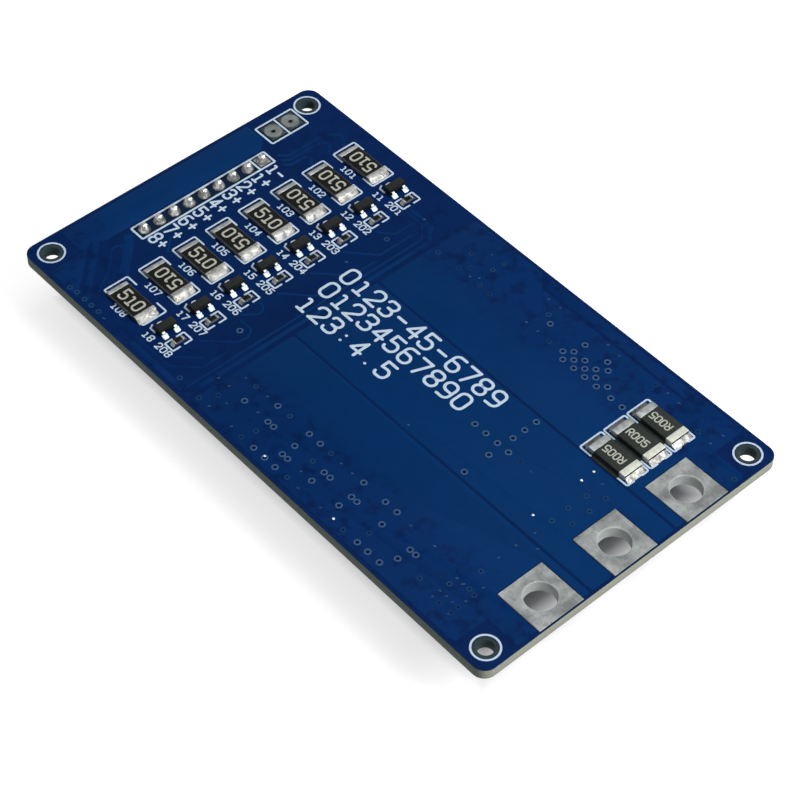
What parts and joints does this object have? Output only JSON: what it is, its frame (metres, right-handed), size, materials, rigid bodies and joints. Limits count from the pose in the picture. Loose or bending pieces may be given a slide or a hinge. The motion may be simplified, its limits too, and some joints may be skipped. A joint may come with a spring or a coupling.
{
  "type": "battery management board",
  "caption": "Rectangular blue circuit board that protects and balances a battery pack, with rows of balancing parts, shunt resistors, edge power terminals and a header beneath.",
  "frame": {"origin": "middle of the board's underside, which is the middle of the four corner holes", "axes": "+X along the board's length towards the power terminals, +Y across it towards the sensor pads, +Z out of the side that carries the balancing resistors"},
  "size_m": [0.09, 0.05, 0.0097],
  "materials": {
    "solder_mask": "glossy blue solder mask over copper and glass-epoxy laminate, sawn edge bare",
    "tinned_copper": "dull tin over copper, slightly smeared",
    "header_plastic": "natural white moulded nylon",
    "pin_metal": "tin-plated brass, bright",
    "solder": "bright reflowed solder",
    "chip_resistor": "alumina body, black glass coat on top, tinned end caps",
    "shunt_metal": "dark green-grey coated metal strip with tinned ends",
    "package_plastic": "black moulding compound with tinned legs",
    "capacitor_ceramic": "tan sintered ceramic with tinned ends"
  },
  "bodies": {
    "root": {"board": "solder_mask", "header_shroud": "header_plastic", "header_pins": "pin_metal", "header_solder": "solder", "power_terminal_1": "tinned_copper", "power_terminal_2": "tinned_copper", "power_terminal_3": "tinned_copper", "sensor_pad_1": "tinned_copper", "sensor_pad_2": "tinned_copper", "balance_resistor_1": "chip_resistor", "balance_resistor_2": "chip_resistor", "balance_resistor_3": "chip_resistor", "balance_resistor_4": "chip_resistor", "balance_resistor_5": "chip_resistor", "balance_resistor_6": "chip_resistor", "balance_resistor_7": "chip_resistor", "balance_resistor_8": "chip_resistor", "balance_transistor_1": "package_plastic", "balance_transistor_2": "package_plastic", "balance_transistor_3": "package_plastic", "balance_transistor_4": "package_plastic", "balance_transistor_5": "package_plastic", "balance_transistor_6": "package_plastic", "balance_transistor_7": "package_plastic", "balance_transistor_8": "package_plastic", "bias_resistor_1": "chip_resistor", "bias_resistor_2": "chip_resistor", "bias_resistor_3": "chip_resistor", "bias_resistor_4": "chip_resistor", "bias_resistor_5": "chip_resistor", "bias_resistor_6": "chip_resistor", "bias_resistor_7": "chip_resistor", "bias_resistor_8": "chip_resistor", "shunt_resistor_1": "shunt_metal", "shunt_resistor_2": "shunt_metal", "shunt_resistor_3": "shunt_metal", "balance_solder": "solder", "transistor_solder": "solder", "bias_solder": "solder", "shunt_solder": "solder", "power_transistor_1": "package_plastic", "power_transistor_2": "package_plastic", "power_transistor_3": "package_plastic", "power_transistor_4": "package_plastic", "power_transistor_5": "package_plastic", "power_transistor_6": "package_plastic", "protection_circuit_1": "package_plastic", "protection_circuit_2": "package_plastic", "driver_transistor_1": "package_plastic", "driver_transistor_2": "package_plastic", "filter_resistors": "chip_resistor", "filter_capacitors": "capacitor_ceramic", "timing_capacitors": "capacitor_ceramic", "gate_resistors": "chip_resistor", "underside_solder": "solder"}
  },
  "joints": []
}
